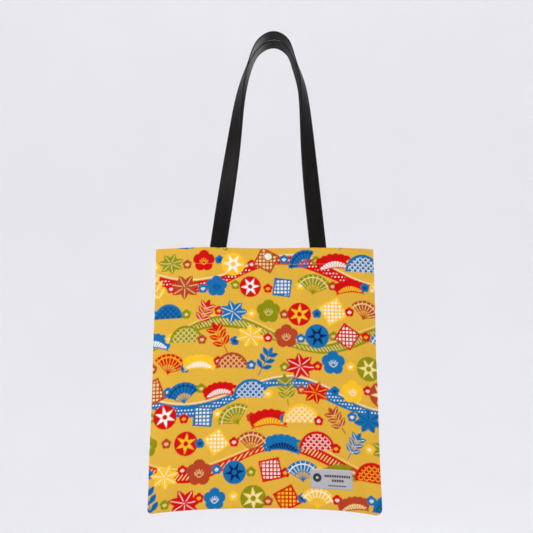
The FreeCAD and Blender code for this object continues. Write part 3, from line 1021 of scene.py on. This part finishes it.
def make_label(ribbon, thread):
    """The label and the stitches round it, on the lower front cloth."""
    low, high = corners(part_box("label"))
    width, thickness, height = high - low
    u0, v0 = low[0] - LEFT_X, MOUTH_Z - high[2]
    across, down = int(width / LABEL_SPACING) + 1, int(height / LABEL_SPACING) + 1
    s, t = np.meshgrid(np.linspace(0, 1, across), np.linspace(0, 1, down))
    s, t = s.ravel(), t.ravel()
    here, out = wall_frame(u0 + s * width, v0 + t * height, -1)
    edge = np.minimum(np.minimum(s, 1 - s) * width, np.minimum(t, 1 - t) * height)
    lift = thickness * np.sqrt(1 - (1 - np.clip(edge / LABEL_EDGE, 0, 1)) ** 2)
    ripple = 0.1 * np.sin(s * 21 + 1) * np.sin(t * 9)
    front = here + (lift + ripple + LABEL_CLEAR)[:, None] * out
    attributes = {
        "print_ink": label_print(s * width, t * height, width, height),
        "cloth_place": np.stack([s * width, t * height, 0 * s], 1),
    }
    faces = grid_faces(down, across, flip=True)
    piece = make_piece("woven_label", front, faces, ribbon, attributes, "label_cloth")
    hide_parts("label")
    left, right = u0 + LABEL_INSET, u0 + width - LABEL_INSET
    top, foot = v0 + LABEL_INSET, v0 + height - LABEL_INSET
    square = [(left, top), (right, top), (right, foot), (left, foot)]
    runs = []
    for a, b in zip(square, square[1:] + square[:1]):
        points, outs = wall_run(a, b, -1, 1.0)
        runs.append(stitch_run(points + (thickness + 0.2) * outs, outs, *LABEL_STITCH))
    stitches = make_piece("label_stitches", *join_parts(runs), thread, slot="label_cloth")
    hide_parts("label_thread")
    for part in (piece, stitches):
        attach(part, "lower_half")
    return piece, stitches, width, height


# ------------------------------------------------------------------ stage


FLOOR_Z, SWEEP_REACH, SWEEP_BEND, SWEEP_TOP = -1300, 5000, 2400, 3600
SWEEP_SIDES = 96
# Name, place in metres, radius, power and colour of each lamp.
LAMPS = (
    ("key", (-1.1, -1.0, 0.15), 0.35, 28, (1.0, 0.985, 0.97)),
    ("fill", (1.0, -1.2, -0.2), 0.5, 4.5, (0.97, 0.98, 1.0)),
    ("back", (0.7, 1.15, 0.1), 0.4, 13, (1, 1, 1)),
)
SKY = (0.96, 0.965, 1.0, 1)
SKY_STRENGTH = 1.08
LENS, SENSOR = 40.5, 36.0
EYE = (CENTRE_X + 0.3, -865, FOLD_Z + 13.8)
EYE_TILT = 99.4  # degrees from straight down


def make_stage():
    """A pale floor that sweeps up into a pale wall all the way round."""
    nodes = Nodes("studio_paper", Roughness=0.9)
    noise = nodes.noise(nodes.object_place(), 1.3, 2.0)
    paper = nodes.finish(nodes.mix(noise, (0.86, 0.855, 0.865, 1), (0.88, 0.875, 0.885, 1)))
    flat = SWEEP_REACH - SWEEP_BEND
    bend = [
        (flat + SWEEP_BEND * math.sin(a), FLOOR_Z + SWEEP_BEND * (1 - math.cos(a)))
        for a in np.linspace(0.1, math.pi / 2, 14)
    ]
    profile = [(1, FLOOR_Z), (flat, FLOOR_Z), *bend, (SWEEP_REACH, SWEEP_TOP)]
    angles = np.linspace(0, 2 * math.pi, SWEEP_SIDES, endpoint=False)
    points = [(CENTRE_X + r * math.cos(a), r * math.sin(a), z) for r, z in profile for a in angles]
    room = make_piece("studio_sweep", points, grid_faces(len(profile), SWEEP_SIDES, closed=True), paper)


def soft_lamp(name, at, radius, power, colour):
    """A round lamp that the camera doesn't see."""
    light = bpy.data.lights.new(name, "POINT")
    light.shadow_soft_size = radius
    light.energy = power
    light.color = colour
    lamp = bpy.data.objects.new(name, light)
    lamp.location = at
    bpy.context.scene.collection.objects.link(lamp)
    lamp.visible_camera = False


def make_light():
    """The lamps and an even pale sky."""
    for lamp in LAMPS:
        soft_lamp(*lamp)
    world = bpy.data.worlds.new("studio_light")
    world.use_nodes = True
    sky = world.node_tree.nodes["Background"].inputs
    sky["Color"].default_value = SKY
    sky["Strength"].default_value = SKY_STRENGTH
    bpy.context.scene.world = world
    bpy.context.scene.view_settings.view_transform = "Standard"


def make_camera():
    """The photograph's viewpoint: close, level with the bag's middle, and tilted up a little."""
    camera = bpy.data.cameras.new("camera")
    camera.lens = LENS
    camera.sensor_width = SENSOR
    eye = bpy.data.objects.new("camera", camera)
    eye.location = metres(*EYE)
    eye.rotation_euler = (math.radians(EYE_TILT), 0, 0)
    bpy.context.scene.collection.objects.link(eye)
    bpy.context.scene.camera = eye


# ------------------------------------------------------------------ build

leather = strap_leather()
yellow_thread = spun_thread("yellow_thread", ink(226, 182, 84))
black_thread = spun_thread("black_thread", ink(24, 22, 22))
grey_thread = spun_thread("grey_thread", ink(176, 175, 178))
pale_gold = polished_metal("pale_gold", ink(196, 172, 112), ink(150, 124, 70), 0.2)
spring_wire = polished_metal("spring_wire", ink(196, 196, 198), ink(150, 150, 154), 0.3)

sheets = make_cloth()
hem_stitches = make_hem_stitches(yellow_thread)
make_handles(leather, black_thread)
make_snap(pale_gold, spring_wire, pearl_enamel())
label, label_stitches, label_width, label_height = make_label(label_ribbon(), grey_thread)

make_stage()
make_light()
make_camera()
